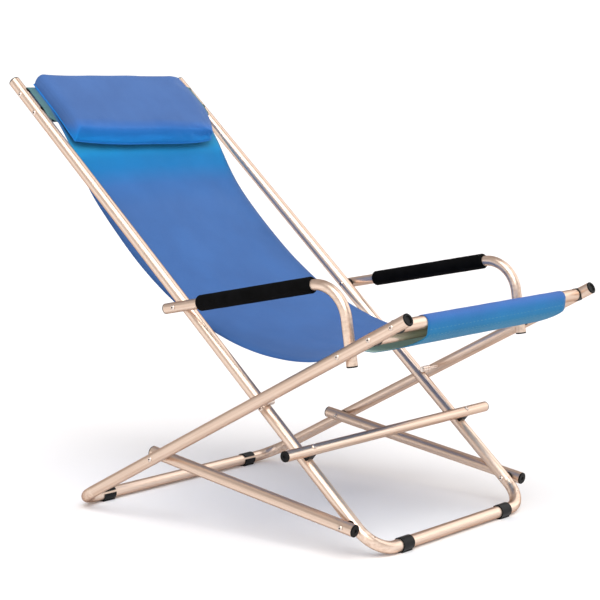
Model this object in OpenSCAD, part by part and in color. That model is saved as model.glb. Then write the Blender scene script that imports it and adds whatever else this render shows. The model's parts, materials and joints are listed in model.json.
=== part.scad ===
// Folding sling deck chair: a crossed pair of tube frames held by two armrests
// and two lower links, so each side is a four-bar linkage that folds flat.
// Millimetres. +Z is up, the sitter faces -Y, and X runs across the chair.
// The origin is on the floor, below the middle of the chair's bounding box.

/* [Tubes] */
// Outer diameter of the main frame tubes
tube_d = 25; // [22:0.5:28]
// Wall thickness of every tube
wall = 1.5; // [1:0.1:2]
// Height of the floor bars' axes above the floor
bar_z = 15; // [14:0.5:18]
// Bend radius at the corners of the floor bars
corner_r = 60; // [45:5:80]

/* [Back frame] */
// Slope of the back frame above the floor
back_angle = 41.9; // [40:0.1:44]
// Length of a back side tube, from the floor bar's axis
back_len = 1350; // [1330:10:1400]
// Half the spacing of the back side tubes
back_x = 262; // [255:1:264]
// Where the upper head bar crosses the back side tubes
head_bar_hi = 1309; // [1300:1:1320]
// Where the lower head bar crosses the back side tubes
head_bar_lo = 1249; // [1240:1:1260]
// Where the stop bar crosses the back side tubes
stop_bar_s = 238; // [225:1:245]
// Diameter of the stop bar
stop_bar_d = 22; // [20:0.5:24]
// Half the length of the stop bar, without its end plugs
stop_bar_half = 341; // [337:1:345]

/* [Seat frame] */
// Slope of the seat frame above the floor
seat_angle = 27.6; // [27:0.1:28]
// Length of a seat side tube, from the floor bar's axis
seat_len = 1003; // [995:1:1015]
// Half the spacing of the seat side tubes
seat_x = 322; // [320:1:326]
// Distance between the axes of the two floor bars
floor_span = 770; // [766:1:774]
// Where the rear seat bar crosses the seat side tubes
seat_bar_lo = 911; // [905:1:915]
// Where the front seat bar crosses the seat side tubes
seat_bar_hi = 970; // [965:1:975]

/* [Linkage] */
// Armrest pivot, along the back side tube
back_arm_s = 659; // [657:0.5:660]
// Lower link pivot, along the back side tube
back_link_s = 72; // [71:0.5:73]
// Armrest pivot, along the seat side tube
seat_arm_s = 828; // [827:0.5:830]
// Lower link pivot, along the seat side tube
seat_link_s = 268; // [267:0.5:269]
// Half the spacing of the armrests and lower links
link_x = 292; // [291:1:293]

/* [Armrests] */
// Outer diameter of the armrest tube
arm_d = 22; // [20:0.5:23]
// Rise of the armrest towards the front
arm_angle = 10.9; // [9:0.1:12]
// Angle through which the armrest turns down into its leg
arm_turn = 92.4; // [90:0.1:95]
// Bend radius between armrest and leg
arm_bend_r = 70; // [60:1:74]
// Length behind the rear pivot
arm_tail = 28; // [24:1:30]
// Length below the front pivot
arm_foot = 22; // [20:1:26]
// Outer diameter of the foam grip
grip_d = 33; // [30:0.5:34]
// Where the foam grip starts, ahead of the rear pivot
grip_start = 67; // [60:1:75]
// Length of the foam grip
grip_len = 303; // [280:1:304]

/* [Lower links] */
// Length ahead of the front pivot
link_nose = 25; // [20:1:28]
// Length behind the rear pivot
link_tail = 31; // [24:1:34]

/* [Rivets and plastics] */
// Diameter of a pivot rivet's shank
pin_d = 6; // [5:0.5:6]
// Diameter of a rivet head
rivet_d = 11; // [10:0.5:12]
// Height of a rivet head
rivet_h = 2.2; // [1.5:0.1:3]
// Radial running clearance of a pivot
run = 0.05; // [0.02:0.01:0.1]
// Side gap between pieces that turn past each other
side_gap = 0.3; // [0.3:0.05:0.6]
// Thickness of the end plugs' rims
plug_rim = 3; // [2:0.5:4]
// Length of a foot clip
clip_len = 34; // [28:1:40]
// Wall thickness of a foot clip
clip_t = 2.2; // [1.8:0.1:2.4]
// Place of the front foot clips, from the middle
front_clip_x = 172; // [160:1:180]
// Place of the rear foot clips, from the middle
rear_clip_x = 232; // [220:1:240]

/* [Fabric] */
// Width of the sling
sling_w = 484; // [460:2:488]
// Thickness of the sling cloth
cloth = 1.5; // [1:0.1:2]

/* [Hidden] */
$fn = 64;
tr = tube_d / 2;
ir = tr - wall;
ar = arm_d / 2;
sr = stop_bar_d / 2;
pr = pin_d / 2;
small_pr = 2;                     // shank radius of the rivets that hold crossbars
joint_s = 66;                     // where a side tube meets its floor bar
sleeve = 40;                      // length of the floor bar's end inside the side tube
back_reach = (back_len + plug_rim) * cos(back_angle) + (tr - 1) * sin(back_angle);
seat_reach = (seat_len + plug_rim) * cos(seat_angle) + (tr - 1) * sin(seat_angle);
front_y = -(floor_span + back_reach - seat_reach) / 2;   // centres the bounding box
rear_y = front_y + floor_span;
metal = [0.86, 0.76, 0.69];
black = [0.04, 0.04, 0.04];
blue = [0.25, 0.45, 0.75];

// Points of the side view, [y, z], at a distance s along each frame and n above it
function back_pt(s, n = 0) = [front_y + s * cos(back_angle) - n * sin(back_angle),
                              bar_z + s * sin(back_angle) + n * cos(back_angle)];
function seat_pt(s, n = 0) = [rear_y - s * cos(seat_angle) + n * sin(seat_angle),
                              bar_z + s * sin(seat_angle) + n * cos(seat_angle)];
arm_rear = back_pt(back_arm_s);
arm_front = seat_pt(seat_arm_s);
link_front = back_pt(back_link_s);
link_rear = seat_pt(seat_link_s);

// The armrest's own frame: along the grip and above it, from the rear pivot
arm_v = arm_front - arm_rear;
arm_u = [-arm_v[0] * cos(arm_angle) + arm_v[1] * sin(arm_angle),
         arm_v[0] * sin(arm_angle) + arm_v[1] * cos(arm_angle)];
leg_len = -arm_u[1] / sin(arm_turn);              // from the sharp corner to the front pivot
arm_corner = arm_u[0] - leg_len * cos(arm_turn);  // from the rear pivot to the sharp corner
arm_cut = arm_bend_r * tan(arm_turn / 2);         // what the bend takes off each side
arm_straight = arm_corner - arm_cut;

link_v = link_rear - link_front;
link_angle = atan2(link_v[1], link_v[0]);
link_len = norm(link_v);

// Where the frames cross, measured along each, and the pin that stops the seat frame: it stands
// out of the seat tube towards the middle, and its sleeve rests on top of the back tube.
cross_angle = back_angle + seat_angle;
cross_back = floor_span * sin(seat_angle) / sin(cross_angle);
cross_seat = floor_span * sin(back_angle) / sin(cross_angle);
pin_sleeve_r = 6.5;
stop_s = cross_seat + (tr + pin_sleeve_r + side_gap) / sin(cross_angle);

// ---- Frames of reference -------------------------------------------------------------------
// Each puts its children where local Z runs along the member and the origin is its datum.
module on_back(s = 0) {
    translate([0, front_y, bar_z]) rotate([back_angle - 90, 0, 0]) translate([0, 0, s]) children();
}
module on_seat(s = 0) {
    translate([0, rear_y, bar_z]) rotate([90 - seat_angle, 0, 0]) translate([0, 0, s]) children();
}
module on_arm(s = 0) {
    translate([0, arm_rear[0], arm_rear[1]]) rotate([90 - arm_angle, 0, 0])
        translate([0, 0, s]) children();
}
module on_link(s = 0) {
    translate([0, link_front[0], link_front[1]]) rotate([link_angle - 90, 0, 0])
        translate([0, 0, s]) children();
}
module both_sides() {
    children();
    mirror([1, 0, 0]) children();
}

// ---- Shared shapes -------------------------------------------------------------------------
module across(r, x0, x1) { translate([x0, 0, 0]) rotate([0, 90, 0]) cylinder(h = x1 - x0, r = r); }

// A tube along Z with its own wall
module pipe(r, h) {
    difference() {
        cylinder(h = h, r = r);
        translate([0, 0, -1]) cylinder(h = h + 2, r = r - wall);
    }
}

// Blind rivet along X from x = from out through the +X side of a tube along Z. Its head is cut to
// sit on the tube, or stands flat at gap outside it. The mandrel's hole is in the head.
module rivet(r_on, shank, from, gap = 0) {
    sink = gap > 0 ? 0 : 1.4;
    x0 = r_on + gap - sink;
    difference() {
        union() {
            difference() {
                translate([x0, 0, 0]) rotate([0, 90, 0]) rotate_extrude()
                    polygon([[0, 0], [rivet_d / 2, 0], [rivet_d / 2, sink + 0.5],
                             [rivet_d * 0.36, sink + 0.8 * rivet_h], [2.4, sink + rivet_h],
                             [0, sink + rivet_h]]);
                if (gap == 0) cylinder(h = 3 * rivet_d, r = r_on, center = true);
            }
            across(shank, from, r_on + gap + 0.5);
        }
        across(1.4, r_on - 2, r_on + gap + rivet_h + 1);
    }
}

// Spacer on the +X side of a tube along Z, cut to sit on that tube, with its bore on X
module spacer(r_on, reach, bore) {
    difference() {
        across(9, r_on - 3.5, r_on + reach);
        cylinder(h = 40, r = r_on, center = true);
        across(bore, 0, r_on + reach + 1);
    }
}

// End plug at the top of a tube along Z: a rim, a spigot and a recess in its face
module plug(r, recess) {
    rotate_extrude() polygon([[0, -10], [r - wall, -10], [r - wall, 0], [r, 0], [r, plug_rim - 1],
                              [r - 1, plug_rim], [recess, plug_rim], [recess - 0.8, 0.8], [0, 0.8]]);
}

// Saddle collar between a crossbar's end and the side tube it butts against. The crossbar runs
// along X towards the middle, and the side tube runs along Z at x = 0.
module saddle(bar_r, on_r) {
    difference() {
        union() {
            across(bar_r + 1, -on_r - 5, 0);
            across(bar_r - wall, -on_r - 20, 0);
        }
        cylinder(h = 60, r = on_r, center = true);
        across(small_pr, -on_r - 21, 0);
    }
}

// A floor bar's rod: the straight run, two corners, and ends that step down to go into the tubes
module floor_rod(r, half, end_r, step_s, tip_s) {
    run_x = half - corner_r;
    across(r, -run_x, run_x);
    both_sides() {
        translate([run_x, 0, corner_r]) rotate([90, 90, 0])
            rotate_extrude(angle = 90) translate([corner_r, 0]) circle(r = r);
        translate([half, 0, corner_r]) cylinder(h = step_s - corner_r, r = r);
        translate([half, 0, corner_r]) cylinder(h = tip_s - corner_r, r = end_r);
    }
}
module floor_bar(half) {
    difference() {
        floor_rod(tr, half, ir, joint_s, joint_s + sleeve);
        floor_rod(ir, half, ir - wall, joint_s - 4, joint_s + sleeve + 1);
        children();
    }
}

// Foot clip around a bar along X, open by a slit that faces slit_dir degrees above +Y
module foot_clip(slit_dir) {
    difference() {
        union() {
            across(tr + clip_t, -clip_len / 2, clip_len / 2);
            translate([-clip_len / 2, -8, -bar_z]) cube([clip_len, 16, 6]);
        }
        across(tr, -clip_len, clip_len);
        rotate([slit_dir, 0, 0]) translate([-clip_len, 0, -2.5]) cube([2 * clip_len, 20, 5]);
    }
}

// ---- Back frame ----------------------------------------------------------------------------
module back_tube() {
    color(metal) on_back() difference() {
        translate([back_x, 0, joint_s]) pipe(tr, back_len - joint_s);
        for (s = [back_link_s, back_arm_s]) translate([0, 0, s]) across(pr, back_x - 20, back_x + 20);
        for (s = [head_bar_lo, head_bar_hi])
            translate([0, 0, s]) across(small_pr, back_x - 20, back_x + 20);
        translate([0, 0, cross_back - 6]) across(small_pr, back_x, back_x + 20);
        translate([back_x, 20, stop_bar_s]) rotate([90, 0, 0]) cylinder(h = 40, r = small_pr);
    }
}
module back_tube_left() { back_tube(); }
module back_tube_right() { mirror([1, 0, 0]) back_tube(); }

module front_floor_bar() {
    drain_a = 35;    // place of the drain hole, as an angle around the corner bend
    color(metal) on_back() floor_bar(back_x) {
        translate([0, 0, back_link_s]) across(pr, -back_x - tr - 1, back_x + tr + 1);
        both_sides() translate([back_x - corner_r * (1 - cos(drain_a)), 0,
                                corner_r * (1 - sin(drain_a))])
            rotate([90, 0, 0]) cylinder(h = 20, r = 1.6);
    }
}

module back_crossbar(s) {
    end = back_x - tr - 3;
    color(metal) on_back(s) translate([-end, 0, 0]) rotate([0, 90, 0]) pipe(tr, 2 * end);
}
module head_bar_upper() { back_crossbar(head_bar_hi); }
module head_bar_lower() { back_crossbar(head_bar_lo); }

module head_bar_saddles() {
    color(black) for (s = [head_bar_lo, head_bar_hi]) on_back(s) both_sides()
        translate([back_x, 0, 0]) crossbar_saddle();
}
// The collar outside the bar's end face and the plug inside the bar
module crossbar_saddle() {
    difference() {
        union() {
            across(tr + 1, -tr - 3, 0);
            across(ir, -tr - 18, 0);
        }
        cylinder(h = 60, r = tr, center = true);
        across(small_pr, -tr - 19, 0);
    }
}
module head_bar_rivets() {
    color(metal) for (s = [head_bar_lo, head_bar_hi]) on_back(s) both_sides()
        translate([back_x, 0, 0]) rivet(tr, small_pr, -tr - 12);
}
module back_tube_plugs() {
    color(black) on_back(back_len) both_sides() translate([back_x, 0, 0]) plug(tr, 4);
}

stop_bar_lift = tr + sr + 4.3;    // the stop bar's axis above the back tubes' axes
module on_stop_bar() { on_back(stop_bar_s) translate([0, -stop_bar_lift, 0]) children(); }
module stop_bar() {
    color(metal) on_stop_bar() difference() {
        translate([-stop_bar_half, 0, 0]) rotate([0, 90, 0]) pipe(sr, 2 * stop_bar_half);
        both_sides() translate([back_x, 20, 0]) rotate([90, 0, 0]) cylinder(h = 40, r = small_pr);
    }
}
module stop_bar_saddles() {
    color(black) on_back(stop_bar_s) both_sides() translate([back_x, 0, 0]) difference() {
        translate([-10, 4 - stop_bar_lift, -10]) cube([20, 20, 20]);
        cylinder(h = 60, r = tr, center = true);
        translate([0, -stop_bar_lift, 0]) across(sr, -20, 20);
        rotate([90, 0, 0]) cylinder(h = 60, r = small_pr);
    }
}
module stop_bar_plugs() {
    color(black) on_stop_bar() both_sides() translate([stop_bar_half, 0, 0])
        rotate([0, 90, 0]) plug(sr, 4);
}
module stop_bar_rivets() {
    color(metal) on_stop_bar() both_sides() translate([back_x, 0, 0])
        rotate([0, 0, -90]) rotate([90, 0, 0]) rivet(sr, small_pr, -stop_bar_lift - tr);
}
module crossing_rivets() {
    color(metal) on_back(cross_back - 6) both_sides() translate([back_x, 0, 0])
        rivet(tr, small_pr, tr - 6);
}
module front_foot_clips() {
    color(black) both_sides() translate([front_clip_x, front_y, bar_z]) foot_clip(35);
}
module arm_rear_rivets() {
    color(metal) on_back(back_arm_s) both_sides() {
        translate([back_x, 0, 0]) mirror([1, 0, 0]) rivet(tr, pr, 0);
        translate([link_x, 0, 0]) rivet(ar, pr, back_x - link_x, side_gap);
    }
}
module arm_rear_spacers() {
    color(black) on_back(back_arm_s) both_sides() translate([back_x, 0, 0])
        spacer(tr, link_x - ar - side_gap - back_x - tr, pr);
}
module link_front_rivets() {
    color(metal) on_back(back_link_s) both_sides() {
        translate([back_x, 0, 0]) mirror([1, 0, 0]) rivet(tr, pr, 0);
        translate([link_x, 0, 0]) rivet(tr, pr, back_x - link_x, side_gap);
    }
}
module link_front_spacers() {
    color(black) on_back(back_link_s) both_sides() translate([back_x, 0, 0])
        spacer(tr, link_x - side_gap - back_x - 2 * tr, pr);
}

// ---- Fabric --------------------------------------------------------------------------------
// The cloth's middle line in the side view. It starts behind the lower head bar, wraps the upper
// one, runs down the front, sags, passes over both seat bars, wraps the front one and comes back.
wrap_r = tr + 0.5 + cloth / 2;
function arc_pts(c, a0, a1, step = 10) =
    [for (i = [0 : round(abs(a1 - a0) / step)])
        let (a = a0 + (a1 - a0) * i / round(abs(a1 - a0) / step))
            c + wrap_r * [cos(a), sin(a)]];
// Points of a smooth curve through a list (Catmull-Rom), k to each span
function spline(p, k = 5) =
    [for (i = [1 : len(p) - 3], j = [0 : k - 1]) let (t = j / k)
        0.5 * (2 * p[i] + (p[i + 1] - p[i - 1]) * t
             + (2 * p[i - 1] - 5 * p[i] + 4 * p[i + 1] - p[i + 2]) * t * t
             + (3 * p[i] - p[i - 1] - 3 * p[i + 1] + p[i + 2]) * t * t * t)];
// Hand-placed points of the sag, [y, z], measured from the front floor bar
sag = [for (p = [[861, 785], [779, 665], [661, 547], [556, 467], [470, 422], [388, 391],
                 [320, 374], [254, 366], [200, 366], [150, 374], [60, 406]]) p + [front_y, 0]];
// The loose lower layer behind the front seat bar
under = [for (p = [[-101, 444], [-86, 430], [-44, 413], [10, 400], [59, 392], [100, 385]])
            p + [front_y, 0]];
head_dir = back_angle + 90;      // square to the back frame, towards the sitter
seat_dir = 90 - seat_angle;      // square to the seat frame, upwards
head_front = back_pt(head_bar_lo, wrap_r);
seat_top = seat_pt(seat_bar_lo, wrap_r);
sling_path = concat(
    [back_pt(head_bar_lo - 6, -wrap_r)],
    arc_pts(back_pt(head_bar_hi), head_dir - 180, head_dir),
    spline(concat([back_pt(head_bar_hi, wrap_r), head_front], sag,
                  [seat_top, seat_pt(seat_bar_hi, wrap_r)])),
    [seat_top],
    arc_pts(seat_pt(seat_bar_hi), seat_dir, 185),
    spline(concat([seat_pt(seat_bar_hi)], under, [[150, 376] + [front_y, 0]])));
function side(p, i) = let (a = p[max(i - 1, 0)], b = p[min(i + 1, len(p) - 1)], d = b - a)
    [-d[1], d[0]] / norm(d);
module strip(p, t) {
    polygon([for (i = [0 : len(p) - 1]) p[i] + side(p, i) * t / 2,
             for (i = [len(p) - 1 : -1 : 0]) p[i] - side(p, i) * t / 2]);
}
module sling() {
    color(blue) translate([-sling_w / 2, 0, 0]) rotate([90, 0, 90])
        linear_extrude(height = sling_w) strip(sling_path, cloth);
}
// Outlines of the pillow: from the side as [s, n] on the back frame, from behind as [x, s], and
// across as [x, n]. Its back lies along the sling.
pillow_side = [[1332, 24], [1336, 19], [1327, 15.5], [1300, 15], [1250, 15], [1210, 14], [1170, 9],
               [1145, 6], [1134, 8], [1133, 14], [1140, 25], [1156, 38], [1180, 48], [1212, 55],
               [1250, 58], [1286, 54], [1312, 44], [1326, 33]];
pillow_back = [[0, 1128], [206, 1130], [226, 1136], [234, 1160], [238, 1250], [232, 1290],
               [212, 1330], [196, 1340], [0, 1342]];
pillow_across = [[0, 0], [180, 0], [216, 6], [238, 18], [240, 24], [234, 32], [214, 44], [180, 54],
                 [130, 60], [0, 62]];
module head_pillow() {
    loop = concat([for (i = [-1 : len(pillow_side) + 1])
                       pillow_side[(i + len(pillow_side)) % len(pillow_side)]]);
    color(blue) on_back() intersection() {
        translate([-250, 0, 0]) rotate([0, 90, 0]) linear_extrude(height = 500)
            polygon([for (p = spline(loop, 3)) [-p[0], -p[1]]]);
        union() for (m = [0, 1]) mirror([m, 0, 0]) rotate([90, 0, 0])
            linear_extrude(height = 90) polygon(pillow_back);
        union() for (m = [0, 1]) mirror([m, 0, 0]) translate([0, 0, 1100])
            linear_extrude(height = 260) polygon([for (p = pillow_across) [p[0], -p[1]]]);
    }
}

// ---- Seat frame ----------------------------------------------------------------------------
module seat_tube() {
    color(metal) on_seat() difference() {
        translate([seat_x, 0, joint_s]) pipe(tr, seat_len - joint_s);
        for (s = [seat_link_s, seat_arm_s])
            translate([0, 0, s]) across(pr, seat_x - 20, seat_x + 20);
        for (s = [seat_bar_lo, seat_bar_hi])
            translate([0, 0, s]) across(small_pr, seat_x - 20, seat_x + 20);
        translate([0, 0, stop_s]) across(4, seat_x - 20, seat_x);
    }
}
module seat_tube_left() { seat_tube(); }
module seat_tube_right() { mirror([1, 0, 0]) seat_tube(); }

module rear_floor_bar() { color(metal) on_seat() floor_bar(seat_x); }

module seat_crossbar(s) {
    end = seat_x - tr - 3;
    color(metal) on_seat(s) translate([-end, 0, 0]) rotate([0, 90, 0]) pipe(tr, 2 * end);
}
module seat_bar_front() { seat_crossbar(seat_bar_hi); }
module seat_bar_rear() { seat_crossbar(seat_bar_lo); }
module seat_bar_saddles() {
    color(black) for (s = [seat_bar_lo, seat_bar_hi]) on_seat(s) both_sides()
        translate([seat_x, 0, 0]) crossbar_saddle();
}
module seat_bar_rivets() {
    color(metal) for (s = [seat_bar_lo, seat_bar_hi]) on_seat(s) both_sides()
        translate([seat_x, 0, 0]) rivet(tr, small_pr, -tr - 12);
}
module seat_tube_plugs() {
    color(black) on_seat(seat_len) both_sides() translate([seat_x, 0, 0]) plug(tr, 8);
}
module stop_pins() {
    color(metal) on_seat(stop_s) both_sides() across(4, back_x - tr + 2, seat_x + 6);
}
module stop_sleeves() {
    color(black) on_seat(stop_s) both_sides() difference() {
        across(pin_sleeve_r, back_x - tr + 4, back_x + tr + 2);
        across(4, back_x - tr, back_x + tr + 4);
    }
}
module rear_foot_clips() {
    color(black) both_sides() translate([rear_clip_x, rear_y, bar_z]) foot_clip(160);
}
module arm_front_rivets() {
    color(metal) on_seat(seat_arm_s) both_sides() {
        translate([seat_x, 0, 0]) rivet(tr, pr, 0);
        translate([link_x, 0, 0]) mirror([1, 0, 0]) rivet(ar, pr, link_x - seat_x, side_gap);
    }
}
module arm_front_spacers() {
    color(black) on_seat(seat_arm_s) both_sides() translate([seat_x, 0, 0]) mirror([1, 0, 0])
        spacer(tr, seat_x - link_x - tr - ar - side_gap, pr);
}
module link_rear_rivets() {
    color(metal) on_seat(seat_link_s) both_sides() translate([seat_x, 0, 0])
        rivet(tr, pr, -tr - 2);
}
module link_rear_spacers() {
    color(black) on_seat(seat_link_s) both_sides() translate([seat_x, 0, 0]) mirror([1, 0, 0])
        spacer(tr, seat_x - link_x - 2 * tr - side_gap, pr);
}

// ---- Armrests ------------------------------------------------------------------------------
// Puts its children past the bend, with the leg's start as their datum
module on_leg() {
    translate([0, -arm_bend_r, arm_straight]) rotate([arm_turn, 0, 0])
        translate([0, arm_bend_r, 0]) children();
}
module arm_tube() {
    color(metal) difference() {
        on_arm() translate([link_x, 0, 0]) {
            translate([0, 0, -arm_tail]) pipe(ar, arm_straight + arm_tail);
            translate([0, -arm_bend_r, arm_straight]) rotate([0, -90, 0]) mirror([1, 0, 0])
                rotate([0, 0, 90]) rotate_extrude(angle = arm_turn) translate([arm_bend_r, 0])
                    difference() { circle(r = ar); circle(r = ar - wall); }
            on_leg() pipe(ar, leg_len + arm_foot - arm_cut);
        }
        translate([0, arm_rear[0], arm_rear[1]]) across(pr + run, link_x - 20, link_x + 20);
        translate([0, arm_front[0], arm_front[1]]) across(pr + run, link_x - 20, link_x + 20);
    }
}
module arm_tube_left() { arm_tube(); }
module arm_tube_right() { mirror([1, 0, 0]) arm_tube(); }

module arm_grip() {
    color(black) on_arm(grip_start) translate([link_x, 0, 0]) difference() {
        cylinder(h = grip_len, r = grip_d / 2);
        translate([0, 0, -1]) cylinder(h = grip_len + 2, r = ar);
    }
}
module arm_grip_left() { arm_grip(); }
module arm_grip_right() { mirror([1, 0, 0]) arm_grip(); }

module arm_plugs() {
    color(black) on_arm() both_sides() translate([link_x, 0, 0]) {
        translate([0, 0, -arm_tail]) mirror([0, 0, 1]) plug(ar, 4);
        on_leg() translate([0, 0, leg_len + arm_foot - arm_cut]) plug(ar, 4);
    }
}

// ---- Lower links ---------------------------------------------------------------------------
module link() {
    color(metal) on_link() difference() {
        translate([link_x, 0, -link_nose]) pipe(tr, link_len + link_nose + link_tail);
        across(pr + run, link_x - 20, link_x + 20);
        translate([0, 0, link_len]) across(pr, link_x - 20, link_x + 20);
    }
}
module link_left() { link(); }
module link_right() { mirror([1, 0, 0]) link(); }
module link_plugs() {
    color(black) on_link() both_sides() translate([link_x, 0, 0]) {
        translate([0, 0, -link_nose]) mirror([0, 0, 1]) plug(tr, 4);
        translate([0, 0, link_len + link_tail]) plug(tr, 4);
    }
}
module link_inner_rivets() {
    color(metal) on_link(link_len) both_sides() translate([link_x, 0, 0]) mirror([1, 0, 0])
        rivet(tr, pr, -tr);
}

back_tube_right();
back_tube_left();
front_floor_bar();
head_bar_upper();
head_bar_lower();
head_bar_saddles();
head_bar_rivets();
back_tube_plugs();
stop_bar();
stop_bar_saddles();
stop_bar_plugs();
stop_bar_rivets();
crossing_rivets();
front_foot_clips();
arm_rear_rivets();
arm_rear_spacers();
link_front_rivets();
link_front_spacers();
sling();
head_pillow();
seat_tube_right();
seat_tube_left();
rear_floor_bar();
seat_bar_front();
seat_bar_rear();
seat_bar_saddles();
seat_bar_rivets();
seat_tube_plugs();
stop_pins();
stop_sleeves();
rear_foot_clips();
arm_front_rivets();
arm_front_spacers();
link_rear_rivets();
link_rear_spacers();
arm_tube_right();
arm_tube_left();
arm_grip_right();
arm_grip_left();
arm_plugs();
link_right();
link_left();
link_plugs();
link_inner_rivets();
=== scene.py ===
"""Folding sling deck chair: the fabric, the foam and the finishes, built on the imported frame."""
import json
import math

import bmesh
import bpy
from mathutils import Matrix, Vector, noise


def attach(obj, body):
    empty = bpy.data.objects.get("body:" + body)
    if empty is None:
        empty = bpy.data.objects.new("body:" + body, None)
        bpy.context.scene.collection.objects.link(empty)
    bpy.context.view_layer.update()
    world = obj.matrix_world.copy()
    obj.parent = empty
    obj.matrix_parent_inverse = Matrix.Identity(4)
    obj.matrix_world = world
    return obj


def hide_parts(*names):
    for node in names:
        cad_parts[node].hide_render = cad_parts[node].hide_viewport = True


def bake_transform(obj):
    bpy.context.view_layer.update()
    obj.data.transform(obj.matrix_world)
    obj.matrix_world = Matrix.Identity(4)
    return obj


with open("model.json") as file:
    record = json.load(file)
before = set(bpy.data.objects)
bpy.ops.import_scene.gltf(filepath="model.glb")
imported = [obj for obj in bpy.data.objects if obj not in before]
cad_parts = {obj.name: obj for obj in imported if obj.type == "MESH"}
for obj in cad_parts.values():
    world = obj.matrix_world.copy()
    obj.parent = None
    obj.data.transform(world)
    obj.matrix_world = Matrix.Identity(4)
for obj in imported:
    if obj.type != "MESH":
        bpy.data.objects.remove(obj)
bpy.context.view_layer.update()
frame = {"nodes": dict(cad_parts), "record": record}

# ---- Layout, in metres, as part.scad has it ------------------------------------------------
QUARTER = math.pi / 2
BACK_A, SEAT_A, ARM_A, LINK_A = (math.radians(a) for a in (41.9, 27.6, 10.9, 9.03))
FRONT_Y, REAR_Y, BAR_Z = -0.443942, 0.326058, 0.015     # the floor bars
TR = 0.0125                                             # radius of the frame tubes
BACK_X, ARM_X = 0.262, 0.292                            # the tubes' places across the chair
HEAD_LO, HEAD_HI = 1.249, 1.309                         # the crossbars, along the back frame
SEAT_LO, SEAT_HI = 0.911, 0.970                         # and along the seat frame
ARM_REAR = Vector((0, 0.04656, 0.45510))                # the armrests' rear pivot


def clamp(v):
    return min(1.0, max(0.0, v))


def back_pt(s, n=0.0, x=0.0):
    """A point s along the back frame and n in front of it."""
    return Vector((x, FRONT_Y + s * math.cos(BACK_A) - n * math.sin(BACK_A),
                   BAR_Z + s * math.sin(BACK_A) + n * math.cos(BACK_A)))


def seat_pt(s, n=0.0, x=0.0):
    """A point s along the seat frame and n above it."""
    return Vector((x, REAR_Y - s * math.cos(SEAT_A) + n * math.sin(SEAT_A),
                   BAR_Z + s * math.sin(SEAT_A) + n * math.cos(SEAT_A)))


# ---- Materials -----------------------------------------------------------------------------
def new_mat(name):
    m = bpy.data.materials.new(name)
    m.use_nodes = True
    nt = m.node_tree
    nt.nodes.clear()
    out = nt.nodes.new("ShaderNodeOutputMaterial")
    bsdf = nt.nodes.new("ShaderNodeBsdfPrincipled")
    nt.links.new(bsdf.outputs[0], out.inputs[0])
    return m, nt, bsdf


def node(nt, kind, **props):
    n = nt.nodes.new(kind)
    for k, v in props.items():
        setattr(n, k, v)
    return n


def link(nt, a, b):
    nt.links.new(a, b)


def coords(nt, scale=(1, 1, 1), rotation=(0, 0, 0)):
    """Object coordinates turned back by rotation, then divided by scale."""
    tc = node(nt, "ShaderNodeTexCoord")
    mp = node(nt, "ShaderNodeMapping", vector_type="TEXTURE")
    mp.inputs["Scale"].default_value = scale
    mp.inputs["Rotation"].default_value = rotation
    link(nt, tc.outputs["Object"], mp.inputs[0])
    return mp.outputs[0]


def ramp(nt, src, stops):
    r = node(nt, "ShaderNodeValToRGB")
    while len(r.color_ramp.elements) > len(stops):
        r.color_ramp.elements.remove(r.color_ramp.elements[-1])
    while len(r.color_ramp.elements) < len(stops):
        r.color_ramp.elements.new(1)
    for e, (p, c) in zip(r.color_ramp.elements, stops):
        e.position = p
        e.color = (*c, 1)
    link(nt, src, r.inputs[0])
    return r.outputs[0]


def tex(nt, vec, scale, detail=2, rough=0.5):
    t = node(nt, "ShaderNodeTexNoise")
    t.inputs["Scale"].default_value = scale
    t.inputs["Detail"].default_value = detail
    t.inputs["Roughness"].default_value = rough
    link(nt, vec, t.inputs["Vector"])
    return t.outputs["Fac"]


def bump(nt, bsdf, height, strength, distance):
    b = node(nt, "ShaderNodeBump")
    b.inputs["Strength"].default_value = strength
    b.inputs["Distance"].default_value = distance
    link(nt, height, b.inputs["Height"])
    link(nt, b.outputs[0], bsdf.inputs["Normal"])


def vary(nt, src, lo, hi, dest):
    r = node(nt, "ShaderNodeMapRange")
    r.inputs["To Min"].default_value = lo
    r.inputs["To Max"].default_value = hi
    link(nt, src, r.inputs[0])
    link(nt, r.outputs[0], dest)


def metal(name, rotation, light, dark, rough=(0.26, 0.36)):
    """Satin anodised tube: drawing lines along it, broad streaks and soft clouds."""
    m, nt, b = new_mat(name)
    b.inputs["Metallic"].default_value = 0.86
    b.inputs["Specular Tint"].default_value = (0.30, 0.16, 0.11, 1)
    lines = tex(nt, coords(nt, (1, 1, 80), rotation), 800, 2, 0.6)
    broad = tex(nt, coords(nt, (1, 1, 160), rotation), 170, 1, 0.5)
    cloud = tex(nt, coords(nt, (1, 1, 3), rotation), 9, 3, 0.55)
    mix = node(nt, "ShaderNodeMath", operation="MULTIPLY_ADD")
    mix.inputs[1].default_value = 0.45
    link(nt, lines, mix.inputs[0])
    link(nt, broad, mix.inputs[2])
    link(nt, ramp(nt, mix.outputs[0], [(0.42, dark), (0.9, light)]), b.inputs["Base Color"])
    vary(nt, cloud, rough[0], rough[1], b.inputs["Roughness"])
    h = node(nt, "ShaderNodeMath", operation="MULTIPLY_ADD")
    h.inputs[1].default_value = 0.12
    link(nt, lines, h.inputs[0])
    link(nt, broad, h.inputs[2])
    bump(nt, b, h.outputs[0], 0.28, 0.0005)
    return m


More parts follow.
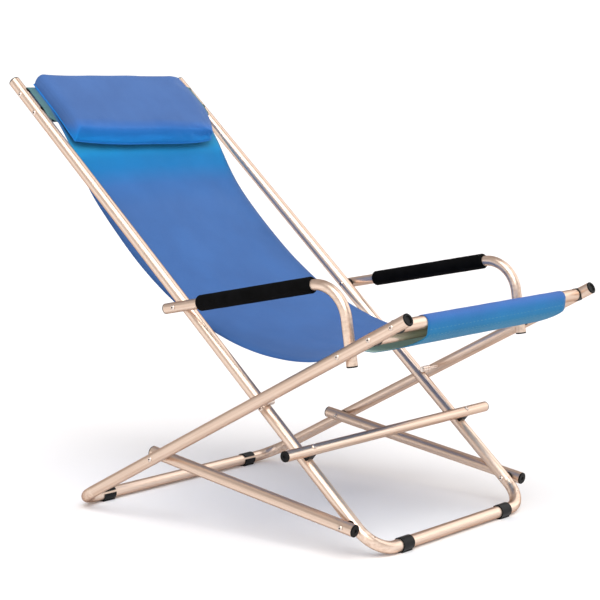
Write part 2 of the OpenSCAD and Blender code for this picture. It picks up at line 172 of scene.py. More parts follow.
def plastic(name, grain=900, rough=(0.38, 0.55), base=0.003):
    """Moulded plastic with a fine grain."""
    m, nt, b = new_mat(name)
    c = tex(nt, coords(nt), 30, 4, 0.6)
    link(nt, ramp(nt, c, [(0.3, (base, base, base)), (0.75, (base * 2.2,) * 3)]),
         b.inputs["Base Color"])
    b.inputs["Specular IOR Level"].default_value = 0.14
    vary(nt, c, rough[0], rough[1], b.inputs["Roughness"])
    bump(nt, b, tex(nt, coords(nt), grain, 2), 0.12, 0.0003)
    return m


def foam(name):
    """Closed-cell foam: fine open pores on a matt skin."""
    m, nt, b = new_mat(name)
    v = node(nt, "ShaderNodeTexVoronoi")
    v.inputs["Scale"].default_value = 620
    link(nt, coords(nt), v.inputs["Vector"])
    soft = tex(nt, coords(nt), 45, 3)
    link(nt, ramp(nt, soft, [(0.3, (0.0012, 0.0012, 0.0012)), (0.75, (0.0035, 0.0035, 0.004))]),
         b.inputs["Base Color"])
    b.inputs["Specular IOR Level"].default_value = 0.06
    vary(nt, soft, 0.8, 0.95, b.inputs["Roughness"])
    add = node(nt, "ShaderNodeMath", operation="MULTIPLY_ADD")
    add.inputs[1].default_value = 0.6
    link(nt, soft, add.inputs[0])
    link(nt, v.outputs["Distance"], add.inputs[2])
    bump(nt, b, add.outputs[0], 0.4, 0.0006)
    return m


def rgb(r, g, b, k=0.66):
    """A colour as the eye sees it, 0 to 255, to a linear one scaled by k."""
    return tuple(k * ((v / 255 + 0.055) / 1.055) ** 2.4 if v > 10 else k * v / 3294.6
                 for v in (r, g, b))


def mix_colour(nt, kind, fac, a, b):
    n = node(nt, "ShaderNodeMix", data_type="RGBA", blend_type=kind)
    if isinstance(fac, float):
        n.inputs[0].default_value = fac
    else:
        link(nt, fac, n.inputs[0])
    for src, sock in ((a, n.inputs[6]), (b, n.inputs[7])):
        if isinstance(src, tuple):
            sock.default_value = (*src, 1)
        else:
            link(nt, src, sock)
    return n.outputs[2]


def fabric(name, length, zones, edge=None, stitches=()):
    """Plain weave from the UVs, which are in metres: x across the chair and y along the cloth.

    zones are (distance along the cloth, colour), which may carry painted light and shade; edge is
    (half width, from, to, colour), painted shade laid on the hems; stitches are the distances
    along the cloth of its rows of stitching.
    """
    m, nt, b = new_mat(name)
    uv = node(nt, "ShaderNodeUVMap", uv_map="UVMap").outputs[0]
    sep = node(nt, "ShaderNodeSeparateXYZ")
    link(nt, uv, sep.inputs[0])

    def math_node(op, a, c, d=None):
        n = node(nt, "ShaderNodeMath", operation=op)
        for src, sock in zip((a, c, d), n.inputs):
            if src is None:
                continue
            if isinstance(src, (int, float)):
                sock.default_value = src
            else:
                link(nt, src, sock)
        return n.outputs[0]

    def thread(axis, pitch):
        w = node(nt, "ShaderNodeTexWave", wave_type="BANDS", bands_direction=axis)
        w.inputs["Scale"].default_value = 1.0 / (pitch * math.pi)
        w.inputs["Distortion"].default_value = 0.35
        w.inputs["Detail"].default_value = 1
        link(nt, uv, w.inputs["Vector"])
        return w.outputs["Fac"]

    weave = math_node("MULTIPLY", thread("X", 0.0011), thread("Y", 0.0013))
    vec = coords(nt)
    cloud = tex(nt, vec, 6, 4, 0.6)
    fleck = tex(nt, vec, 420, 2, 0.7)
    tone = math_node("MULTIPLY_ADD", weave, 0.22, cloud)
    tone = math_node("MULTIPLY_ADD", fleck, 0.25, tone)
    along = math_node("MULTIPLY_ADD", cloud, 0.014, sep.outputs[1])
    along = math_node("DIVIDE", along, length)
    col = ramp(nt, along, [(d / length, c) for d, c in zones])
    if edge:
        half, d0, d1, c = edge
        side = math_node("GREATER_THAN", math_node("ABSOLUTE", sep.outputs[0], 0.0), half)
        span = ramp(nt, along, [(d0 / length, (0, 0, 0)), ((d0 + 0.004) / length, (1, 1, 1)),
                                (d1 / length, (1, 1, 1)), ((d1 + 0.02) / length, (0, 0, 0))])
        col = mix_colour(nt, "MIX", math_node("MULTIPLY", side, span), col, c)
    shade = ramp(nt, tone, [(0.35, (0.80, 0.80, 0.82)), (0.95, (1.16, 1.15, 1.12))])
    col = mix_colour(nt, "MULTIPLY", 1.0, col, shade)
    high = math_node("MULTIPLY_ADD", fleck, 0.4, weave)
    for d in stitches:
        row = math_node("COMPARE", sep.outputs[1], d, 0.0008)
        w = node(nt, "ShaderNodeTexWave", wave_type="BANDS", bands_direction="X")
        w.inputs["Scale"].default_value = 1.0 / (0.013 * math.pi)
        link(nt, uv, w.inputs["Vector"])
        dash = math_node("MULTIPLY", row, math_node("GREATER_THAN", w.outputs["Fac"], 0.55))
        col = mix_colour(nt, "MIX", math_node("MULTIPLY", dash, 0.35), col, rgb(110, 170, 180))
        high = math_node("MULTIPLY_ADD", dash, 1.5, high)
    link(nt, col, b.inputs["Base Color"])
    vary(nt, cloud, 0.72, 0.88, b.inputs["Roughness"])
    b.inputs["Specular IOR Level"].default_value = 0.25
    b.inputs["Sheen Weight"].default_value = 0.12
    b.inputs["Sheen Roughness"].default_value = 0.45
    b.inputs["Sheen Tint"].default_value = (0.6, 0.75, 1.0, 1)
    bump(nt, b, high, 0.35, 0.0005)
    return m


# Rotations that turn the texture's Z onto each member's length
LIGHT, DARK = (0.84, 0.675, 0.555), (0.64, 0.475, 0.37)
M_BACK = metal("tube_back", (BACK_A - QUARTER, 0, 0), LIGHT, DARK)
M_SEAT = metal("tube_seat", (QUARTER - SEAT_A, 0, 0), LIGHT, DARK)
M_ARM = metal("tube_arm", (QUARTER - ARM_A, 0, 0), LIGHT, DARK)
M_LINK = metal("tube_link", (LINK_A - QUARTER, 0, 0), LIGHT, DARK)
M_CROSS = metal("tube_cross", (0, QUARTER, 0), LIGHT, DARK)
M_RIVET = metal("rivet", (0, 0, 0), (0.86, 0.76, 0.68), (0.58, 0.46, 0.39), (0.2, 0.34))
M_PLASTIC = plastic("black_plastic")
M_CLIP = plastic("foot_clip", 500, (0.3, 0.45), 0.004)
M_FOAM = foam("foam")

for name, obj in frame["nodes"].items():
    if name.startswith("back_tube_") and "plugs" not in name:
        mat = M_BACK
    elif name.startswith("seat_tube_") and "plugs" not in name:
        mat = M_SEAT
    elif name.startswith("arm_tube"):
        mat = M_ARM
    elif name in ("link_left", "link_right"):
        mat = M_LINK
    elif name in ("front_floor_bar", "rear_floor_bar", "head_bar_upper", "head_bar_lower",
                  "stop_bar", "seat_bar_front", "seat_bar_rear"):
        mat = M_CROSS
    elif name.endswith("rivets") or name in ("stop_pins", "stop_sleeves"):
        mat = M_RIVET
    elif name.endswith("clips"):
        mat = M_CLIP
    elif "grip" in name:
        mat = M_FOAM
    else:
        mat = M_PLASTIC
    obj.data.materials.clear()
    obj.data.materials.append(mat)


# ---- Mesh helpers --------------------------------------------------------------------------
def make(name, verts, faces, mat, body=None, uvs=None):
    """A smooth-shaded mesh object; uvs has one pair for each vertex."""
    me = bpy.data.meshes.new(name)
    me.from_pydata([tuple(v) for v in verts], [], faces)
    me.update()
    if uvs is not None:
        layer = me.uv_layers.new(name="UVMap")
        for lp in me.loops:
            layer.data[lp.index].uv = uvs[lp.vertex_index]
    for p in me.polygons:
        p.use_smooth = True
    me.materials.append(mat)
    ob = bpy.data.objects.new(name, me)
    bpy.context.collection.objects.link(ob)
    if body:
        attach(ob, body)
    return ob


def weld(ob, dist, sliver=None):
    """Joins vertices that meet, drops slivers and turns every face outwards."""
    bm = bmesh.new()
    bm.from_mesh(ob.data)
    bmesh.ops.remove_doubles(bm, verts=bm.verts, dist=dist)
    if sliver:
        bmesh.ops.dissolve_degenerate(bm, edges=bm.edges, dist=sliver)
    bmesh.ops.recalc_face_normals(bm, faces=bm.faces)
    bm.to_mesh(ob.data)
    bm.free()


def catmull(p, k=6):
    """A smooth curve through p, but for its first and last points, k steps to a span."""
    out = []
    for i in range(1, len(p) - 2):
        for j in range(k):
            t = j / k
            out.append(0.5 * (2 * p[i] + (p[i + 1] - p[i - 1]) * t
                              + (2 * p[i - 1] - 5 * p[i] + 4 * p[i + 1] - p[i + 2]) * t * t
                              + (3 * p[i] - p[i - 1] - 3 * p[i + 1] + p[i + 2]) * t ** 3))
    out.append(p[-2].copy())
    return out


def resample(p, step):
    """Points at even spacing along a polyline."""
    lens = [0.0]
    for a, b in zip(p, p[1:]):
        lens.append(lens[-1] + (b - a).length)
    n = max(2, round(lens[-1] / step))
    out, i = [], 0
    for k in range(n + 1):
        d = lens[-1] * k / n
        while i < len(p) - 2 and lens[i + 1] < d:
            i += 1
        t = (d - lens[i]) / max(1e-9, lens[i + 1] - lens[i])
        out.append(p[i].lerp(p[i + 1], t))
    return out, lens[-1]


# ---- The sling -----------------------------------------------------------------------------
CLOTH = 0.0012               # thickness of the cloth
WRAP = TR + CLOTH            # the cloth's middle, round a bar
HEAD_WRAP = TR + 0.0022      # the same at the head, clear of the collars at the bars' ends
HALF_W = 0.242
NX = 56                      # columns across the cloth
UNDER = 0.86                 # share of its length where the loop has come back under the seat


def yz(y, z):
    """A point y behind and z above the front floor bar, in millimetres."""
    return Vector((0, y / 1000 + FRONT_Y, z / 1000))


def arc(centre, r, a0, a1, k):
    return [centre + Vector((0, r * math.cos(a), r * math.sin(a)))
            for a in (a0 + (a1 - a0) * i / k for i in range(k + 1))]


# the hung cloth's line from the head bars to the seat bars, and the loop's way back under the seat
SAG = [(861, 785), (779, 665), (661, 547), (556, 467), (470, 422), (388, 391), (320, 374),
       (254, 366), (200, 366), (150, 374), (60, 406)]
RETURN = [(-101, 444), (-86, 430), (-44, 413), (10, 400), (59, 392), (98, 386.5), (150, 376)]
LOWEST = yz(254, 366)        # where the two pieces of the sling meet
head_n, seat_n = BACK_A + QUARTER, QUARTER - SEAT_A
path = catmull([back_pt(1.200, 0.010), back_pt(1.212, 0.0062), back_pt(1.224, -0.003),
                back_pt(1.237, -0.0128), back_pt(1.262, -HEAD_WRAP), back_pt(1.28, -HEAD_WRAP)])
path += arc(back_pt(HEAD_HI), HEAD_WRAP, head_n - math.pi, head_n, 14)
path += catmull([back_pt(HEAD_HI, HEAD_WRAP), back_pt(HEAD_LO, HEAD_WRAP)]
                + [yz(*p) for p in SAG] + [seat_pt(SEAT_LO, WRAP), seat_pt(SEAT_HI, WRAP)], 8)
path += arc(seat_pt(SEAT_HI), WRAP, seat_n, math.radians(185), 12)
path += catmull([seat_pt(SEAT_HI)] + [yz(*p) for p in RETURN], 8)
path, sling_len = resample(path, 0.006)


def head_width(d):
    """The sleeve round the head bars reaches the side tubes, and the cloth below is narrower."""
    sleeve, below = 1.062, 0.982
    t = clamp((d - 0.238) / 0.012)
    back = clamp((d - 0.28) / 0.35)
    return sleeve + (below - sleeve) * t + (1 - below) * back


def sling_grid():
    """Rows of points across the cloth, with the sag, edge curl and soft creases of hung cloth."""
    rows, dist, d = [], [], 0.0
    for i, p in enumerate(path):
        a, b = path[max(i - 1, 0)], path[min(i + 1, len(path) - 1)]
        t = (b - a).normalized()
        n = Vector((0, -t.z, t.y))
        if i:
            d += (p - path[i - 1]).length
        u = d / sling_len
        # free is 1 where the cloth hangs clear of every bar
        near = min((p - back_pt(HEAD_HI)).length, (p - back_pt(HEAD_LO)).length,
                   (p - seat_pt(SEAT_HI)).length, (p - seat_pt(SEAT_LO)).length)
        free = clamp((near - 0.02) / 0.22)
        free = free * free * (3 - 2 * free)
        under = u > UNDER
        slid = clamp((u - 0.62) / 0.2)      # the loop sits a little to one side
        row = []
        for j in range(NX + 1):
            v = 2 * j / NX - 1
            x = v * HALF_W
            # the middle sags under its own weight, and the hems draw in a little
            sag = 0.009 * free * (1 - v * v)
            curl = -0.004 * free * max(0, abs(v) - 0.93) / 0.07
            fold = 0.0022 * free * noise.noise(Vector((x * 7, d * 2.2, 3.1)))
            fold += 0.0009 * noise.noise(Vector((x * 22, d * 9, 8.7))) * (0.3 + free)
            pull = (1 - 0.012 * free * (not under)) * head_width(d)
            q = p - n * (sag + curl) * (-0.6 if under else 1) + n * fold
            row.append(Vector((x * pull + 0.006 * slid, q.y, q.z)))
        rows.append(row)
        dist.append(d)
    return rows, dist


rows, row_d = sling_grid()


def close_loop():
    """Brings the loop's free end up against the underside of the seat, where it is sewn on."""
    first = next(i for i, d in enumerate(row_d) if d / sling_len > UNDER)
    y0, y1 = yz(20, 0).y, path[-1].y
    for j in range(NX + 1):
        over = [r[j] for r, p in zip(rows[:first], path)
                if yz(-20, 0).y < p.y < yz(260, 0).y and p.z < yz(0, 460).z]
        for r in rows[first:]:
            q = r[j]
            if q.y <= y0:
                continue
            seg = next(((a, b) for a, b in zip(over, over[1:]) if b.y <= q.y <= a.y), None)
            if seg is None:
                continue
            a, b = seg
            top = b.z + (a.z - b.z) * (q.y - b.y) / max(1e-9, a.y - b.y) - 0.0016
            t = clamp((q.y - y0) / (y1 - y0))
            q.z = min(top, q.z + (top - q.z) * t * t * (3 - 2 * t))


close_loop()


def along_cloth(p):
    """Distance along the cloth of its point nearest p."""
    return row_d[min(range(len(path)), key=lambda i: (path[i] - p).length)]


D_CREASE = along_cloth(back_pt(1.122, 0.010))
D_CREST = along_cloth(seat_pt(SEAT_HI, WRAP))
MAIN = rgb(70, 119, 190)
# painted light and shade: the cyan bands round the pillow's crease, the darker band just under it,
# the teal past the front bar's crest and under the seat, and the grey-teal on the cloth's sides
# near the head stand in for shade on the one blue cloth; the zones by the crease are scaled
# brighter to light that shade
M_SLING = fabric("sling_fabric", row_d[-1], [
    (0.0, MAIN), (D_CREASE - 0.06, rgb(60, 122, 186)),
    (D_CREASE - 0.006, rgb(24, 132, 180, 1.05)), (D_CREASE + 0.008, rgb(8, 137, 200, 0.92)),
    (D_CREASE + 0.024, rgb(0, 136, 208, 0.70)), (D_CREASE + 0.050, rgb(6, 133, 208)),
    (D_CREASE + 0.100, rgb(60, 120, 195)),
    (D_CREASE + 0.160, MAIN), (D_CREST - 0.20, rgb(66, 116, 190)),
    (D_CREST + 0.012, rgb(78, 122, 202)), (D_CREST + 0.024, rgb(66, 121, 202)),
    (D_CREST + 0.038, rgb(26, 127, 196)), (D_CREST + 0.070, rgb(24, 136, 184)),
    (row_d[-1] - 0.001, rgb(40, 134, 176))],
    edge=(0.2385, 0.0, D_CREASE - 0.03, rgb(94, 138, 144, 0.72)),
    stitches=(D_CREST + 0.040, D_CREST + 0.052))
M_INNER = fabric("sling_inner", row_d[-1], [(0.0, rgb(66, 118, 186)), (1.0, MAIN)])
# the sleeve's inside past the front bar's crest: its grey-green is painted shade, brightened, and
# it glows as painted light below
M_SLEEVE_PAINTED_LIGHT = fabric("sling_sleeve_painted_light", row_d[-1], [(0.0, rgb(150, 168, 156, 1.2)),
                                              (1.0, rgb(138, 162, 152, 1.2))])
# painted shade: the head sleeve ends' grey-teal stands for the blue cloth in shade beside the
# tubes, scaled brighter as painted light
M_SLEEVE_END = fabric("sling_sleeve_end", 0.12, [(0.0, rgb(104, 142, 144, 1.3)),
                                                 (0.11, rgb(96, 146, 150, 1.3))])
# painted light: an emission glow stands in for the light that the thin cloth lets into the sleeve
# round the seat's front bar, and a weaker one on the head sleeve's ends
for glow_mat, glow in ((M_SLEEVE_PAINTED_LIGHT, 0.42), (M_SLEEVE_END, 0.06)):
    bsdf = glow_mat.node_tree.nodes["Principled BSDF"]
    bsdf.inputs["Emission Color"].default_value = (*rgb(128, 150, 134, 1.0), 1)
    bsdf.inputs["Emission Strength"].default_value = glow


def slab(name, grid, dist, thick, mat, body=None):
    """A closed sheet of even thickness from a grid of points, with its two ends left sharp."""
    nr, nc = len(grid), len(grid[0])
    nrm = []
    for i in range(nr):
        r = []
        for j in range(nc):
            du = grid[min(i + 1, nr - 1)][j] - grid[max(i - 1, 0)][j]
            dv = grid[i][min(j + 1, nc - 1)] - grid[i][max(j - 1, 0)]
            r.append(du.cross(dv).normalized())
        nrm.append(r)
    verts, uv = [], []
    for sgn in (1, -1):
        for i in range(nr):
            for j in range(nc):
                verts.append(grid[i][j] + nrm[i][j] * thick / 2 * sgn)
                uv.append((grid[i][j].x, dist[i]))
    off = nr * nc
    faces = []
    for i in range(nr - 1):
        for j in range(nc - 1):
            a = i * nc + j
            faces.append((a, a + nc, a + nc + 1, a + 1))
            faces.append((off + a, off + a + 1, off + a + nc + 1, off + a + nc))
    for i in range(nr - 1):
        a = i * nc
        faces.append((a, off + a, off + a + nc, a + nc))
        a = i * nc + nc - 1
        faces.append((a, a + nc, off + a + nc, off + a))
    for j in range(nc - 1):
        faces.append((j, j + 1, off + j + 1, off + j))
        a = (nr - 1) * nc + j
        faces.append((a, off + a, off + a + 1, a + 1))
    ob = make(name, verts, faces, mat, body, uv)
    ob.data.materials.append(M_INNER)
    ob.data.materials.append(M_SLEEVE_PAINTED_LIGHT)
    # inner faces past the front bar's crest take the sleeve's painted light and shade, the rest
    # the plain inner cloth
    for p in ob.data.polygons:
        if all(v >= off for v in p.vertices):
            p.material_index = 2 if dist[(p.vertices[0] - off) // nc] > D_CREST + 0.012 else 1
    edges = {tuple(sorted(e.vertices)): e for e in ob.data.edges}
    for first in (0, off - nc, off, 2 * off - nc):      # both skins' first and last rows
        for a in range(first, first + nc - 1):
            edges[(a, a + 1)].use_edge_sharp = True
    return ob


split = min(range(len(path)), key=lambda i: (path[i] - LOWEST).length)
upper = slab("sling_upper", rows[:split + 1], row_d[:split + 1], CLOTH, M_SLING)
lower = slab("sling_lower", rows[split:], row_d[split:], CLOTH, M_SLING)
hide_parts("sling")


def sleeve_end(name, sign):
    """The sleeve's end, drawn in between its two layers beside the frame tube."""
    grid, dist = [], []
    s0, s1, ni, nj = 1.214, 1.3225, 14, 12
    for i in range(ni + 1):
        s = s0 + (s1 - s0) * i / ni
        h = HEAD_WRAP if s < HEAD_HI else math.sqrt(max(0.0, HEAD_WRAP ** 2 - (s - HEAD_HI) ** 2))
        h = max(h - 0.0008, 0.001)
        row = []
        low = -h + (h + 0.008) * clamp((1.240 - s) / 0.026)
        high = h - 0.006 * clamp((HEAD_LO - s) / 0.037)
        for j in range(nj + 1):
            n = low + (high - low) * j / nj
            tube = BACK_X - math.sqrt(max(0.0, TR ** 2 - n * n))
            row.append(back_pt(s, n, sign * (min(tube, 0.2560) - 0.0009)))
        grid.append(row)
        dist.append(0.02 + 0.09 * i / ni)
    return slab(name, grid, dist, 0.0007, M_SLEEVE_END, "back_frame")


sleeve_ends = [sleeve_end("sling_sleeve_end_right", -1), sleeve_end("sling_sleeve_end_left", 1)]


# ---- The pillow ----------------------------------------------------------------------------
PILLOW_HALF = 0.2325         # half the pillow's width
PILLOW_BASE = 0.0155         # its seam, in front of the back frame's plane


def pillow_profile(u):
    """The pad's section at u, -1 to 1 across: (s, fullness) from the bottom crease to the top."""
    mid = 1 - abs(u) ** 2.5
    low = 1.146 - 0.018 * mid - (0.012 * u if u > 0 else 0)
    ridge = 1.160 - 0.016 * mid - (0.018 * u if u > 0 else 0)
    pts = [(low + 0.004, -0.35), (low, 0.0), (low + 0.004, 0.45), (ridge - 0.004, 0.88),
           (ridge + 0.006, 1.0), (1.19, 1.06), (1.24, 1.08), (1.29, 1.03), (1.320, 0.99),
           (1.3265, 0.84), (1.3275, 0.45), (1.324, 0.0), (1.320, -0.3)]
    return catmull([Vector((0, a, b)) for a, b in pts], 4)


def build_pillow():
    """The pad as a closed mesh, and the line of its seam."""
    nu = 72
    verts, uv, faces = [], [], []
    columns = []
    for i in range(nu + 1):
        u = 2 * i / nu - 1
        u = math.copysign(1 - (1 - abs(u)) ** 1.7, u)
        prof = pillow_profile(u)
        full = (1 - abs(u) ** (90 if u < 0 else 9)) ** 0.5 if abs(u) < 1 else 0.0
        d = 0.0
        col = []
        for j, q in enumerate(prof):
            t = j / (len(prof) - 1)
            s_back = prof[0].y + (prof[-1].y - prof[0].y) * t
            s = s_back + (q.y - s_back) * min(1.0, full * 2)
            base = PILLOW_BASE - 0.005 * max(0.0, (0.5 - t) / 0.5)
            if j:
                d += math.hypot(q.y - prof[j - 1].y, 0.031 * (q.z - prof[j - 1].z))
            # the far lower corner is drawn in
            x = u * PILLOW_HALF - 0.046 * max(0.0, u) ** 3 * max(0.0, (1.215 - s) / 0.09) ** 1.5
            # puckers run in from the side seams and along the bottom one
            pucker = 0.0010 * noise.noise(Vector((x * 60, s * 9, 2.0))) * (1 - t) ** 2
            pucker += 0.0012 * noise.noise(Vector((x * 12, s * 14, 5.0)))
            n = base + full * max(0.0, q.z) * (0.0315 + pucker)
            col.append((back_pt(s, n, x), back_pt(s_back, base, x), d))
        columns.append(col)
    rows_n = len(columns[0])
    for side in (0, 1):
        for j in range(rows_n):
            for col in columns:
                verts.append(col[j][side])
                uv.append((col[j][0].x, col[j][2] + (0 if side == 0 else 0.3)))
    nc = nu + 1
    off = nc * rows_n
    for j in range(rows_n - 1):
        for i in range(nu):
            a = j * nc + i
            faces.append((a, a + 1, a + nc + 1, a + nc))
            faces.append((off + a, off + a + nc, off + a + nc + 1, off + a + 1))
    ob = make("head_pillow_soft", verts, faces, M_PILLOW, uvs=uv)
    weld(ob, 0.00005, 0.00002)
    seam = [c[0][1] for c in columns] + [q[1] for q in columns[-1][1:]]
    seam += [c[-1][1] for c in reversed(columns[:-1])] + [q[1] for q in reversed(columns[0][1:-1])]
    return ob, seam


# painted shade: the cyan from the bottom seam up the pad's lower face stands for shade under the
# pad, scaled brighter near the seam
M_PILLOW = fabric("pillow_fabric", 0.6, [
    (0.0, rgb(0, 130, 206, 0.98)), (0.018, rgb(6, 128, 208, 0.92)),
    (0.034, rgb(30, 122, 206, 0.84)), (0.046, rgb(66, 123, 204, 0.72)), (0.062, rgb(80, 124, 194)),
    (0.20, rgb(80, 123, 193)), (0.60, rgb(70, 119, 192))])


def cord_tube(name, pts, r, mat, body, seg=8):
    """A thin round tube along a closed line."""
    verts, faces, uv, n = [], [], [], len(pts)
    for i, p in enumerate(pts):
        t = (pts[(i + 1) % n] - pts[i - 1]).normalized()
        side = t.cross(Vector((0, -math.sin(BACK_A), math.cos(BACK_A)))).normalized()
        up = side.cross(t)
        for k in range(seg):
            a = 2 * math.pi * k / seg
            verts.append(p + side * r * math.cos(a) + up * r * math.sin(a))
            uv.append((k / seg * 0.006, 0.02))
    for i in range(n):
        for k in range(seg):
            a, b = i * seg + k, i * seg + (k + 1) % seg
            c, d = (i + 1) % n * seg + (k + 1) % seg, (i + 1) % n * seg + k
            faces.append((a, b, c, d))
    return make(name, verts, faces, mat, body, uv)


pillow, pillow_seam = build_pillow()
# the piping's UVs sit 0.02 along the pillow cloth, in its cyan painted shade
cord_tube("head_pillow_piping", pillow_seam, 0.0016, M_PILLOW, "back_frame")
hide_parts("head_pillow")


def simulate(ob, cap, pressure, frames=18):
    """Lets the pad swell under pressure as cloth, and caps how far a point may move."""
    rest = [v.co.copy() for v in ob.data.vertices]
    cl = ob.modifiers.new("cloth", "CLOTH")
    st = cl.settings
    st.quality = 6
    st.mass = 0.25
    st.tension_stiffness = 25
    st.compression_stiffness = 4
    st.shear_stiffness = 8
    st.bending_stiffness = 0.4
    st.use_pressure = True
    st.uniform_pressure_force = pressure
    st.effector_weights.gravity = 0
    grp = ob.vertex_groups.new(name="hold")
    hold = [i for i, c in enumerate(rest) if pad_n(c) < PILLOW_BASE + 0.0003]
    grp.add(hold, 1.0, "REPLACE")
    st.vertex_group_mass = "hold"
    cl.point_cache.frame_start, cl.point_cache.frame_end = 1, frames
    for f in range(1, frames + 1):
        bpy.context.scene.frame_set(f)
    dg = bpy.context.evaluated_depsgraph_get()
    ev = ob.evaluated_get(dg)
    new = [v.co.copy() for v in ev.data.vertices]
    ob.modifiers.remove(cl)
    ob.vertex_groups.clear()
    for v, a, b in zip(ob.data.vertices, rest, new):
        d = b - a
        most = cap * (1 - min(1.0, abs(a.x) / PILLOW_HALF) ** 6)
        if d.length > most:
            d *= most / d.length
        v.co = a + d
    bpy.context.scene.frame_set(1)


def pad_n(c):
    """Distance of a point in front of the back frame's plane."""
    return -(c.y - FRONT_Y) * math.sin(BACK_A) + (c.z - BAR_Z) * math.cos(BACK_A)


simulate(pillow, 0.004, 2.0)
sub = pillow.modifiers.new("sub", "SUBSURF")
sub.levels = sub.render_levels = 1
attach(pillow, "back_frame")


# ---- Foam grips, and the rivets' broken mandrels drawn black as painted shade in their holes ---
def lathe(origin, axis, profile, seg=36):
    """Rings of points round an axis, from a profile of (distance along, radius)."""
    axis = axis.normalized()
    side = axis.orthogonal().normalized()
    up = axis.cross(side)
    verts, faces = [], []
    for s, r in profile:
        for k in range(seg):
            a = 2 * math.pi * k / seg
            verts.append(origin + axis * s + side * r * math.cos(a) + up * r * math.sin(a))
    for i in range(len(profile) - 1):
        for k in range(seg):
            a, b = i * seg + k, i * seg + (k + 1) % seg
            faces.append((a, b, b + seg, a + seg))
    return verts, faces


def build_grip(side, sign):
    """A foam sleeve from s0 to s1 along the arm, with ends rounded to a radius of e."""
    r, r_in, s0, s1, e = 0.0165, 0.0111, 0.067, 0.370, 0.0055
    prof = [(s0 + 0.001, r_in)]
    prof += [(s0 + e - e * math.cos(a), r - e + e * math.sin(a))
             for a in (QUARTER * k / 7 for k in range(8))]
    for k in range(1, 24):
        s = s0 + e + (s1 - s0 - 2 * e) * k / 24
        prof.append((s, r + 0.00035 * noise.noise(Vector((s * 40, sign, 0)))))
    prof += [(s1 - e + e * math.cos(a), r - e + e * math.sin(a))
             for a in (QUARTER * (1 - k / 7) for k in range(8))]
    prof += [(s1 - 0.001, r_in), (s0 + 0.001, r_in)]
    verts, faces = lathe(ARM_REAR + Vector((sign * ARM_X, 0, 0)),
                         Vector((0, -math.cos(ARM_A), math.sin(ARM_A))), prof)
    ob = make("arm_grip_foam_" + side, verts, faces, M_FOAM)
    weld(ob, 1e-6)
    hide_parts("arm_grip_" + side)
    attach(ob, "armrests")


build_grip("right", -1)
build_grip("left", 1)


def solids(nd):
    """The points of each separate solid in a CAD node."""
    bm = bmesh.new()
    bm.from_mesh(frame["nodes"][nd].data)
    bmesh.ops.remove_doubles(bm, verts=bm.verts, dist=1e-5)
    left, out = set(bm.verts), []
    while left:
        stack, comp = [left.pop()], []
        while stack:
            v = stack.pop()
            comp.append(v.co.copy())
            for e in v.link_edges:
                o = e.other_vert(v)
                if o in left:
                    left.remove(o)
                    stack.append(o)
        out.append(comp)
    bm.free()
    return sorted(out, key=lambda c: tuple(round(min(v[k] for v in c), 5) for k in range(3)))


def rivet_cores(name, body, nodes):
    """The broken mandrel in the middle of each rivet's head, drawn in black plastic: partly the
    mandrel, partly painted shade for the hole round it.
    """
    deep, narrow = 0.0022, 0.0045       # an end is a head if it is wider than narrow
    core = [(-0.0012, 0.0017), (0.0002, 0.0017), (0.0007, 0.0013), (0.0009, 0.0006),
            (0.0009, 0.00001)]
    verts, faces = [], []
    for nd in nodes:
        for comp in solids(nd):
            cy = (min(c.y for c in comp) + max(c.y for c in comp)) / 2
            cz = (min(c.z for c in comp) + max(c.z for c in comp)) / 2
            for end, d in ((min(c.x for c in comp), -1), (max(c.x for c in comp), 1)):
                wide = max(math.hypot(c.y - cy, c.z - cz) for c in comp
                           if abs(c.x - end) < deep)
                if wide > narrow:
                    v, f = lathe(Vector((end, cy, cz)), Vector((d, 0, 0)), core, 16)
                    faces += [tuple(i + len(verts) for i in q) for q in f]
                    verts += v
    make(name, verts, faces, M_PLASTIC, body)


for body, names in frame["record"]["behaviour"]["bodies"].items():
    rivets = [nd for nd in names if nd.endswith("rivets")]
    if rivets:
        rivet_cores("mandrels_and_hole_shade_" + body, body, rivets)


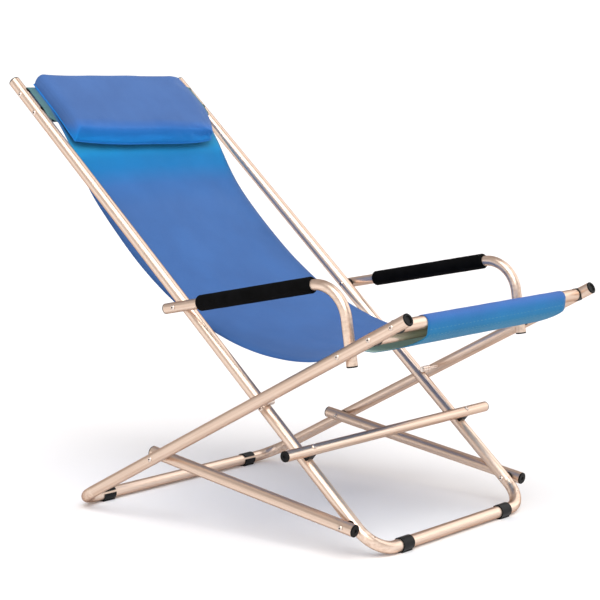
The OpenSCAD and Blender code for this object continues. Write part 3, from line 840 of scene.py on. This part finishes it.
# ---- Camera, floor and light ---------------------------------------------------------------
def place_camera():
    """The photograph's viewing angle: azimuth, elevation and roll, then distance and lens."""
    cam = bpy.data.cameras.new("camera")
    ob = bpy.data.objects.new("camera", cam)
    bpy.context.collection.objects.link(ob)
    az, el, roll = math.radians(-50.092), math.radians(6.833), math.radians(-0.378)
    back = Vector((math.sin(az) * math.cos(el), -math.cos(az) * math.cos(el), math.sin(el)))
    right = Vector((math.cos(az), math.sin(az), 0))
    up = back.cross(right)
    r = right * math.cos(roll) + up * math.sin(roll)
    u = up * math.cos(roll) - right * math.sin(roll)
    m = Matrix((r, u, back)).transposed().to_4x4()
    m.translation = Vector((-2.8672, -1.99366 + FRONT_Y, 0.89567))
    ob.matrix_world = m
    cam.sensor_width = 36
    cam.lens = 105.3822
    cam.clip_end = 50
    bpy.context.scene.camera = ob


place_camera()


def floor():
    """A pale, matt and level ground."""
    m, nt, b = new_mat("floor")
    c = tex(nt, coords(nt), 3, 2)
    link(nt, ramp(nt, c, [(0.0, (0.93, 0.93, 0.935)), (1.0, (0.96, 0.96, 0.965))]),
         b.inputs["Base Color"])
    b.inputs["Roughness"].default_value = 0.9
    ob = make("floor_plane", [(-30, -30, 0), (30, -30, 0), (30, 30, 0), (-30, 30, 0)],
              [(0, 1, 2, 3)], m)


floor()


def sun(name, direction, power, angle):
    li = bpy.data.lights.new(name, "SUN")
    li.energy, li.angle = power, math.radians(angle)
    ob = bpy.data.objects.new(name, li)
    bpy.context.collection.objects.link(ob)
    ob.rotation_euler = Vector(direction).to_track_quat("Z", "Y").to_euler()


sun("key", (-0.50, -0.42, 0.80), 2.6, 60)
sun("rim", (0.70, -0.30, 0.55), 1.0, 60)


def studio():
    """White round the horizon and a darker ceiling, so that the tubes have edges."""
    world = bpy.data.worlds.new("studio")
    bpy.context.scene.world = world
    world.use_nodes = True
    nt = world.node_tree
    bg = nt.nodes["Background"]
    tc = node(nt, "ShaderNodeTexCoord")
    sep = node(nt, "ShaderNodeSeparateXYZ")
    link(nt, tc.outputs["Generated"], sep.inputs[0])
    ceiling = (0.36, 0.33, 0.32)
    half = node(nt, "ShaderNodeMath", operation="MULTIPLY_ADD")
    half.inputs[1].default_value = half.inputs[2].default_value = 0.5
    link(nt, sep.outputs[2], half.inputs[0])
    link(nt, ramp(nt, half.outputs[0], [(0.0, (1, 1, 1)), (0.56, (1, 1, 1)),
                                        (0.64, (0.55, 0.51, 0.49)), (0.80, ceiling),
                                        (1.0, ceiling)]), bg.inputs[0])
    bg.inputs[1].default_value = 1.1


studio()
bpy.context.scene.view_settings.view_transform = "Standard"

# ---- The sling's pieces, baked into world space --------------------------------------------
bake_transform(upper)
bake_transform(lower)
